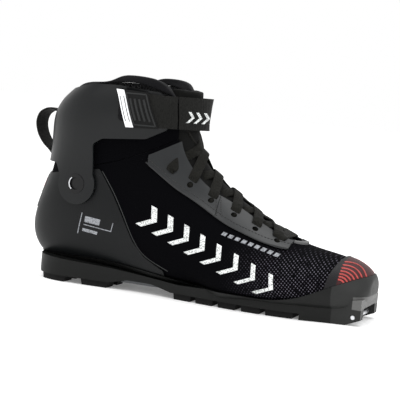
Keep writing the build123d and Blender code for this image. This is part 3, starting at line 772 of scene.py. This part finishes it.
toe_tree = tree_of("toe_guard")
STRIPES = 9
STRIPE_CENTRE = (129.5, 30.5)
STRIPE_REACH = (23.5, 20.5)
stripe_bits = []
for number in range(STRIPES):
    size = 0.99 - number * 0.098
    for side in (-1, 1):
        path, normals = [], []
        for angle in range(92, 4, -2):
            x = STRIPE_CENTRE[0] + STRIPE_REACH[0] * size * math.cos(math.radians(angle))
            z = STRIPE_CENTRE[1] + STRIPE_REACH[1] * size * math.sin(math.radians(angle))
            hit, normal = cast(toe_tree, (x, 0, z), (0, -side, 0))
            if hit is None or (path and (hit - path[-1]).length > 6 * MM):
                continue
            path.append(hit + normal * 0.05 * MM)
            normals.append(normal)
        if len(path) > 5:
            section = flat_section(1.5, 0.5)
            stripe_bits.append(sweep(f"stripe_{number}", path, normals, section, "stripe"))
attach(join("toe_stripes", stripe_bits), "boot")

# ---- collar mesh ---------------------------------------------------------------------


def hex_net(name, tree, centre, low, high, start_angle, end_angle, pitch, material):
    """Net of hexagons laid on the collar, seen from inside out: angle round the leg and height."""
    made = bmesh.new()
    radius = 42.0
    span = math.radians(end_angle - start_angle) * radius
    columns = int(span / (pitch * 1.5))
    rows = int((high - low) / (pitch * 0.866)) + 2
    side = pitch
    for column in range(columns):
        for level in range(rows):
            u = column * 1.5 * side
            v = low + level * 1.732 * side + (column % 2) * 0.866 * side
            ring = []
            for k in range(6):
                a = math.radians(60 * k)
                uu, vv = u + side * math.cos(a), v + side * math.sin(a)
                angle = math.radians(start_angle) + uu / radius
                out = Vector((math.cos(angle), math.sin(angle), 0))
                hit, normal = cast(tree, (centre[0], centre[1], vv), -out, 90)
                if hit is None or (hit - Vector((centre[0], centre[1], vv)) * MM).dot(out) < 18 * MM:
                    break
                ring.append(hit + normal * 0.2 * MM)
            if len(ring) == 6 and max((p - ring[0]).length for p in ring) < 4 * side * MM:
                made.faces.new([made.verts.new(place) for place in ring])
    bmesh.ops.remove_doubles(made, verts=made.verts, dist=0.05 * MM)
    bmesh.ops.recalc_face_normals(made, faces=made.faces)
    mesh = bpy.data.meshes.new(name)
    made.to_mesh(mesh)
    made.free()
    obj = bpy.data.objects.new(name, mesh)
    bpy.context.scene.collection.objects.link(obj)
    wire = obj.modifiers.new("net", "WIREFRAME")
    wire.thickness = 0.7 * MM
    wire.use_replace = True
    return paint(apply_modifiers(obj), material)


band_tree = tree_of("collar_band")
net = hex_net("collar_net", band_tree, (-52, 0), 160, 170, -170, 170, 1.6, "mesh_thread")
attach(net, "cuff")

# ---- strap details -------------------------------------------------------------------

grip_tree = tree_of("strap_grip")
ribs = []
FLAP_LOW_Z = 125


def on_flap(u, z):
    """Side-view point on the flap, u from its low end, leaning back towards the top."""
    return (u - (z - FLAP_LOW_Z) * 14 / 47, 0, z)


for u in (-40.5, -37.0, -33.5, -30.0):
    line = [on_flap(u, z) for z in (139.5, 148, 156.5)]
    ribs.append(draped_tube("rib", grip_tree, line, (0, 1, 0), 0.95, "grip_rib"))
frame_line = [on_flap(-42.6, 136), on_flap(-42.6, 160.5), on_flap(-27.2, 160.5), on_flap(-27.2, 136)]
for a, b in zip(frame_line, frame_line[1:] + frame_line[:1]):
    ribs.append(draped_tube("rib", grip_tree, [a, b], (0, 1, 0), 0.65, "grip_rib", count=30))
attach(join("grip_ribs", ribs), "flap")

tip_tree = tree_of("strap_tip")
grooves = []
for u in (-48.6, -45.6):
    line = [on_flap(u, z) for z in (138, 148, 158)]
    grooves.append(draped_tube("groove", tip_tree, line, (0, 1, 0), 0.32, "badge_gray"))
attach(join("tip_grooves", grooves), "flap")

strap_side = tree_of("strap_flap", "strap_band")
strap_print = []
label = slanted((-18, 141), 0, 0.15)
LABEL_PITCH = 6.4
for number in range(4):
    outline = chevron(number * LABEL_PITCH, 2.4, 9)
    strap_print.append(draped_patch(f"label_{number}", strap_side, outline, (-0.35, 1, 0), label,
                                    "ink", cell_mm=1.0))
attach(join("strap_print", strap_print), "cuff")

# ---- pivot crescents -----------------------------------------------------------------

CRESCENT_R = 5.6
arc = []
for angle in range(125, 236, 10):
    turned = math.radians(angle)
    arc.append((PIVOT[0] + CRESCENT_R * math.cos(turned), 0, PIVOT[1] + CRESCENT_R * math.sin(turned)))
pivot_tree = tree_of("cuff", "pivot_bushings", "pivot_rivets")
for side, word in ((-1, "outer"), (1, "inner")):
    crescent = draped_tube(f"pivot_crescent_{word}", pivot_tree, arc, (0, -side, 0), 0.55, "crescent")
    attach(crescent, "cuff")

# ---- pull loop -----------------------------------------------------------------------

LOOP = [(-131, 0, 139), (-136, 0.5, 140.5), (-142, 1, 139.5), (-147.5, 1.5, 135.5),
        (-149.6, 1.5, 128), (-147, 1, 119), (-141.5, 0.5, 111.5), (-135, 0, 106), (-132, 0, 100)]
loop_path = smooth_path(LOOP, 60)
centre = np.array((-138, 0, 124))
loop_normals = [tuple(np.array(point) - centre) for point in loop_path]
loop = sweep("pull_loop_tape", [Vector(point) * MM for point in loop_path], loop_normals,
             flat_section(17, 1.7, 6, 20), "webbing")
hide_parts("pull_loop")
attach(loop, "cuff")

# ---- heel badge ----------------------------------------------------------------------

badge_tree = tree_of("heel_badge")


def behind(u, v):
    return (-100, u, v)


for name, box, material in (("badge_red_patch", (-11, 11, 74.5, 82.5), "badge_red"),
                            ("badge_white_strip", (-12, 12, 70.5, 74.0), "badge_white")):
    patch = draped_patch(name, badge_tree, bar(*box), (1, 0, 0), behind, material, thick_mm=0.3)
    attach(patch, "boot")

# ---- ground, light and camera --------------------------------------------------------

world = bpy.data.worlds.new("studio")
bpy.context.scene.world = world
world.use_nodes = True
world.node_tree.nodes["Background"].inputs["Color"].default_value = (1, 1, 1, 1)
world.node_tree.nodes["Background"].inputs["Strength"].default_value = 1.0

ground = Shader("pale_floor", (0.93, 0.93, 0.93), 0.9, specular=0.1)
ground.set(ground.bsdf, {"Emission Color": (1, 1, 1, 1), "Emission Strength": 0.16})
MATERIALS["floor"] = ground.done()
FLOOR_HALF = 6.0
floor_corners = [(-FLOOR_HALF, -FLOOR_HALF, 0), (FLOOR_HALF, -FLOOR_HALF, 0),
                 (FLOOR_HALF, FLOOR_HALF, 0), (-FLOOR_HALF, FLOOR_HALF, 0)]
floor = add_mesh("floor", floor_corners, [(0, 1, 2, 3)], "floor")


def area_light(name, place, target, size, power):
    light = bpy.data.lights.new(name, "AREA")
    light.shape = "DISK"
    light.size = size
    light.energy = power
    obj = bpy.data.objects.new(name, light)
    bpy.context.scene.collection.objects.link(obj)
    obj.location = place
    obj.rotation_euler = (Vector(target) - Vector(place)).to_track_quat("-Z", "Y").to_euler()
    return obj


area_light("key", (-0.5, -0.9, 1.5), (0, 0, 0.08), 0.9, 13)
area_light("top", (0.3, 0.3, 1.6), (0, 0, 0.08), 1.2, 10)
area_light("front_rim", (1.4, -0.5, 0.6), (0.05, 0, 0.06), 0.6, 5)

AZIMUTH, ELEVATION, ROLL = (math.radians(angle) for angle in (20, 5, 5.5))
DISTANCE = 1.110
TARGET = Vector((0, 0, 0.079))
LENS = 122.3775
SENSOR = 36.0
back = Vector((math.sin(AZIMUTH) * math.cos(ELEVATION),
               -math.cos(AZIMUTH) * math.cos(ELEVATION),
               math.sin(ELEVATION)))
right = Vector((math.cos(AZIMUTH), math.sin(AZIMUTH), 0))
up = back.cross(right)
tilted_right = right * math.cos(ROLL) + up * math.sin(ROLL)
tilted_up = up * math.cos(ROLL) - right * math.sin(ROLL)
camera = bpy.data.objects.new("camera", bpy.data.cameras.new("camera"))
bpy.context.scene.collection.objects.link(camera)
camera.data.sensor_width = SENSOR
camera.data.lens = LENS
turn = Matrix((tilted_right, tilted_up, back)).transposed().to_4x4()
camera.matrix_world = Matrix.Translation(TARGET + back * DISTANCE) @ turn
bpy.context.scene.camera = camera
bpy.context.scene.view_settings.view_transform = "Standard"
